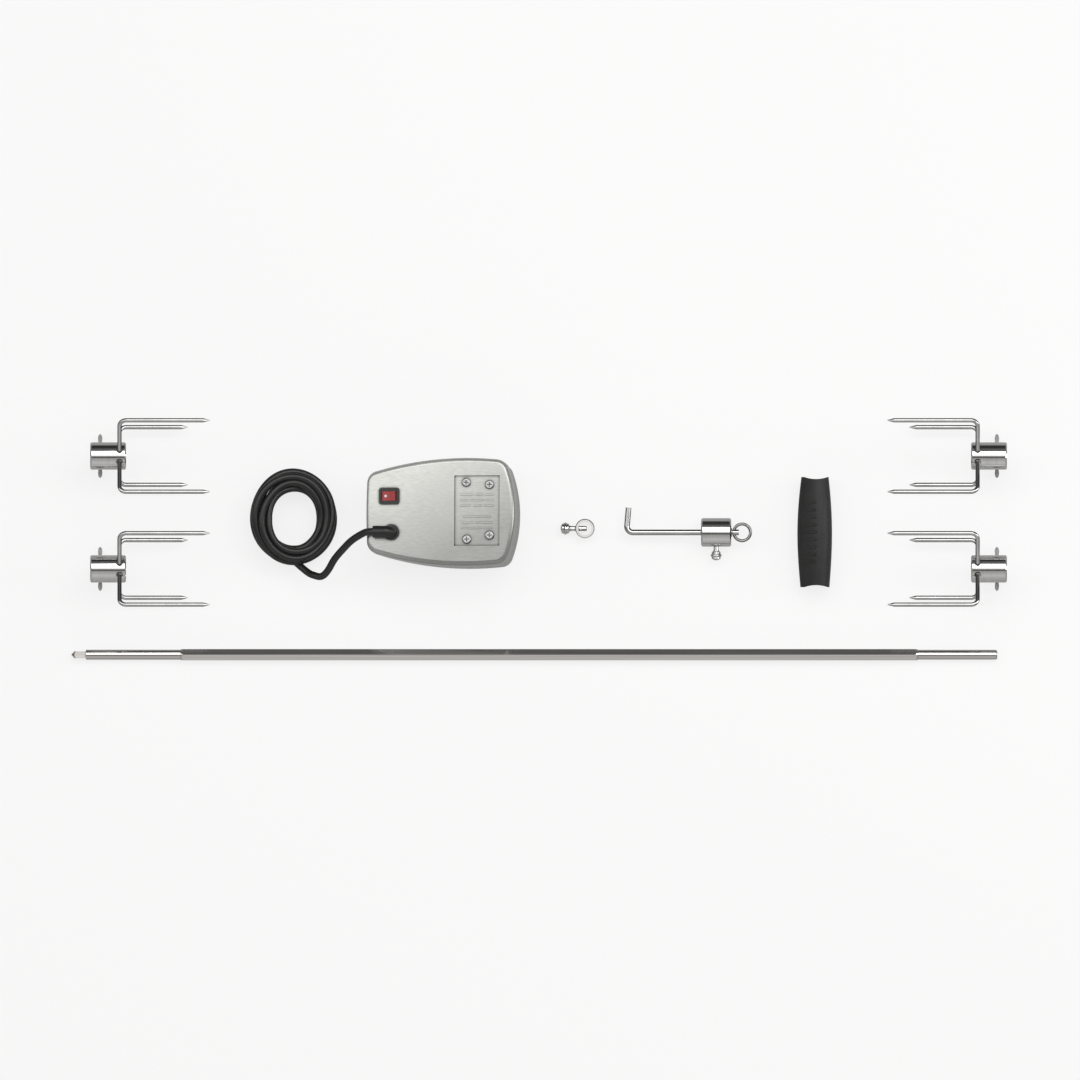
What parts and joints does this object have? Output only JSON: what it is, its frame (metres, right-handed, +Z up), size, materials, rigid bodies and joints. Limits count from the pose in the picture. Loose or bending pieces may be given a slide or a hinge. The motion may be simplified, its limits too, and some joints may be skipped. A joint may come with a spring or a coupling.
{
  "type": "rotisserie spit roaster kit",
  "caption": "Electric rotisserie kit: motor unit with rocker switch, hexagonal spit rod, meat forks, stop collar, sliding counterbalance and hand grip.",
  "frame": {"origin": "centre of the laid-out kit's footprint, on the floor it lies on", "axes": "+X along the spit rod toward its plain end, +Y across the kit away from the rod, +Z up"},
  "size_m": [0.9352, 0.2422, 0.0835],
  "materials": {
    "cover_steel": "horizontally brushed stainless sheet",
    "housing_steel": "brushed stainless sheet",
    "screw_steel": "plated screws",
    "gearbox_steel": "zinc plated",
    "brass": "satin",
    "copper_coil": "enamelled copper winding",
    "gear_plastic": "moulded",
    "magnet": "ferrite",
    "black_plastic": "satin moulded",
    "red_plastic": "glossy",
    "cable_black": "satin jacket",
    "lead_insulation": "plain",
    "rod_chrome": "bright drawn",
    "collar_chrome": "polished plate",
    "wire_chrome": "polished plate",
    "screw_chrome": "polished plate",
    "grip_black": "matte phenolic"
  },
  "bodies": {
    "motor_unit": {"motor_front_cover": "cover_steel", "motor_rear_housing": "housing_steel", "cover_screws": "screw_steel", "housing_screws": "screw_steel", "gearbox_front_plate": "gearbox_steel", "gearbox_rear_plate": "gearbox_steel", "gearbox_posts": "gearbox_steel", "gear_axles": "gearbox_steel", "front_bushing": "brass", "rear_bushing": "brass", "motor_can": "gearbox_steel", "stator_coil": "copper_coil", "rotor_bearings": "brass", "mounting_bracket": "housing_steel", "bracket_screws": "screw_steel", "switch_bezel": "black_plastic", "switch_terminals": "brass", "strain_relief": "black_plastic", "power_cable": "cable_black", "power_plug": "black_plastic", "plug_prongs": "brass", "lead_wires": "lead_insulation"},
    "rocker": {"switch_rocker": "red_plastic"},
    "output_drive": {"output_gear": "gear_plastic", "output_shaft": "gearbox_steel", "drive_socket": "gearbox_steel"},
    "third_gear_body": {"third_gear": "gear_plastic"},
    "second_gear_body": {"second_gear": "gear_plastic"},
    "rotor_body": {"rotor": "magnet", "rotor_pinion": "gear_plastic"},
    "fork_1": {"fork_1_collar": "collar_chrome", "fork_1_tines": "wire_chrome"},
    "fork_1_stud": {"fork_1_screw_stud": "screw_chrome"},
    "fork_1_wing": {"fork_1_screw_wing": "screw_chrome"},
    "fork_2": {"fork_2_collar": "collar_chrome", "fork_2_tines": "wire_chrome"},
    "fork_2_stud": {"fork_2_screw_stud": "screw_chrome"},
    "fork_2_wing": {"fork_2_screw_wing": "screw_chrome"},
    "fork_3": {"fork_3_collar": "collar_chrome", "fork_3_tines": "wire_chrome"},
    "fork_3_stud": {"fork_3_screw_stud": "screw_chrome"},
    "fork_3_wing": {"fork_3_screw_wing": "screw_chrome"},
    "fork_4": {"fork_4_collar": "collar_chrome", "fork_4_tines": "wire_chrome"},
    "fork_4_stud": {"fork_4_screw_stud": "screw_chrome"},
    "fork_4_wing": {"fork_4_screw_wing": "screw_chrome"},
    "stop": {"stop_collar": "collar_chrome"},
    "stop_stud": {"stop_screw_stud": "screw_chrome"},
    "stop_knob": {"stop_screw_knob": "screw_chrome"},
    "balance": {"counterbalance_rod": "wire_chrome", "retaining_washer": "wire_chrome"},
    "weight": {"counterbalance_weight": "collar_chrome"},
    "weight_stud": {"weight_screw_stud": "screw_chrome"},
    "weight_knob": {"weight_screw_knob": "screw_chrome"},
    "ring": {"pull_ring": "wire_chrome"},
    "grip": {"handle_grip": "grip_black"},
    "spit": {"spit_rod": "rod_chrome"}
  },
  "joints": [
    {"name": "switch_rock", "type": "hinge", "parent": "motor_unit", "child": "rocker", "pos_m": [-0.14986, 0.04304, 0.06364], "axis": [0.005, 0.9966, -0.0819], "range_deg": [0, 16]},
    {"name": "output_spin", "type": "hinge", "parent": "motor_unit", "child": "output_drive", "pos_m": [-0.06076, 0.02678, 0.06484], "axis": [-0.1219, 0.0819, 0.9892], "continuous": true},
    {"name": "third_spin", "type": "hinge", "parent": "motor_unit", "child": "third_gear_body", "pos_m": [-0.08207, 0.04173, 0.05491], "axis": [-0.1219, 0.0819, 0.9892], "continuous": true},
    {"name": "second_spin", "type": "hinge", "parent": "motor_unit", "child": "second_gear_body", "pos_m": [-0.09978, 0.02567, 0.04799], "axis": [-0.1219, 0.0819, 0.9892], "continuous": true},
    {"name": "rotor_spin", "type": "hinge", "parent": "motor_unit", "child": "rotor_body", "pos_m": [-0.1149, 0.01441, 0.03089], "axis": [-0.1219, 0.0819, 0.9892], "continuous": true},
    {"name": "fork_1_lift", "type": "slide", "parent": "motor_unit", "child": "fork_1", "axis": [0, 0, 1], "range_m": [0, 0.12]},
    {"name": "fork_1_screw_travel", "type": "slide", "parent": "fork_1", "child": "fork_1_stud", "axis": [0, 0, -1], "range_m": [-0.00105, 0.0032]},
    {"name": "fork_1_screw_turn", "type": "hinge", "parent": "fork_1_stud", "child": "fork_1_wing", "pos_m": [-0.43905, 0.08323, 0.0105], "axis": [0, 0, -1], "range_deg": [-360, 1080]},
    {"name": "fork_2_lift", "type": "slide", "parent": "motor_unit", "child": "fork_2", "axis": [0, 0, 1], "range_m": [0, 0.12]},
    {"name": "fork_2_screw_travel", "type": "slide", "parent": "fork_2", "child": "fork_2_stud", "axis": [0, 0, -1], "range_m": [-0.00105, 0.0032]},
    {"name": "fork_2_screw_turn", "type": "hinge", "parent": "fork_2_stud", "child": "fork_2_wing", "pos_m": [-0.43905, -0.02967, 0.0105], "axis": [0, 0, -1], "range_deg": [-360, 1080]},
    {"name": "fork_3_lift", "type": "slide", "parent": "motor_unit", "child": "fork_3", "axis": [0, 0, 1], "range_m": [0, 0.12]},
    {"name": "fork_3_screw_travel", "type": "slide", "parent": "fork_3", "child": "fork_3_stud", "axis": [0, 0, -1], "range_m": [-0.00105, 0.0032]},
    {"name": "fork_3_screw_turn", "type": "hinge", "parent": "fork_3_stud", "child": "fork_3_wing", "pos_m": [0.45765, 0.08323, 0.0105], "axis": [0, 0, -1], "range_deg": [-360, 1080]},
    {"name": "fork_4_lift", "type": "slide", "parent": "motor_unit", "child": "fork_4", "axis": [0, 0, 1], "range_m": [0, 0.12]},
    {"name": "fork_4_screw_travel", "type": "slide", "parent": "fork_4", "child": "fork_4_stud", "axis": [0, 0, -1], "range_m": [-0.00105, 0.0032]},
    {"name": "fork_4_screw_turn", "type": "hinge", "parent": "fork_4_stud", "child": "fork_4_wing", "pos_m": [0.45765, -0.02967, 0.0105], "axis": [0, 0, -1], "range_deg": [-360, 1080]},
    {"name": "stop_lift", "type": "slide", "parent": "motor_unit", "child": "stop", "axis": [0, 0, 1], "range_m": [0, 0.12]},
    {"name": "stop_screw_travel", "type": "slide", "parent": "stop", "child": "stop_stud", "axis": [-1, 0, 0], "range_m": [-0.00165, 0.0026]},
    {"name": "stop_screw_turn", "type": "hinge", "parent": "stop_stud", "child": "stop_knob", "pos_m": [0.03165, 0.01073, 0.007], "axis": [-1, 0, 0], "range_deg": [-720, 1080]},
    {"name": "counterbalance_lift", "type": "slide", "parent": "motor_unit", "child": "balance", "axis": [0, 0, 1], "range_m": [0, 0.12]},
    {"name": "weight_slide", "type": "slide", "parent": "balance", "child": "weight", "axis": [1, 0, 0], "range_m": [-0.06, 0]},
    {"name": "weight_screw_travel", "type": "slide", "parent": "weight", "child": "weight_stud", "axis": [0, -1, 0], "range_m": [-0.00005, 0.0026]},
    {"name": "weight_screw_turn", "type": "hinge", "parent": "weight_stud", "child": "weight_knob", "pos_m": [0.1769, -0.01317, 0.0143], "axis": [0, -1, 0], "range_deg": [0, 1080]},
    {"name": "ring_swing", "type": "hinge", "parent": "balance", "child": "ring", "pos_m": [0.1945, 0.00683, 0.0143], "axis": [0, 1, 0], "range_deg": [-75, 75]},
    {"name": "grip_lift", "type": "slide", "parent": "motor_unit", "child": "grip", "axis": [0, 0, 1], "range_m": [0, 0.12]},
    {"name": "spit_lift", "type": "slide", "parent": "motor_unit", "child": "spit", "axis": [0, 0, 1], "range_m": [0, 0.12]}
  ],
  "couplings": [
    {"joint": "second_spin", "follows": "rotor_spin", "ratio": -0.22222},
    {"joint": "third_spin", "follows": "rotor_spin", "ratio": 0.046784},
    {"joint": "output_spin", "follows": "rotor_spin", "ratio": -0.010025},
    {"joint": "fork_1_screw_travel", "follows": "fork_1_screw_turn", "m_per_rad": 0.00015915},
    {"joint": "fork_2_screw_travel", "follows": "fork_2_screw_turn", "m_per_rad": 0.00015915},
    {"joint": "fork_3_screw_travel", "follows": "fork_3_screw_turn", "m_per_rad": 0.00015915},
    {"joint": "fork_4_screw_travel", "follows": "fork_4_screw_turn", "m_per_rad": 0.00015915},
    {"joint": "stop_screw_travel", "follows": "stop_screw_turn", "m_per_rad": 0.00012732},
    {"joint": "weight_screw_travel", "follows": "weight_screw_turn", "m_per_rad": 0.00012732}
  ]
}
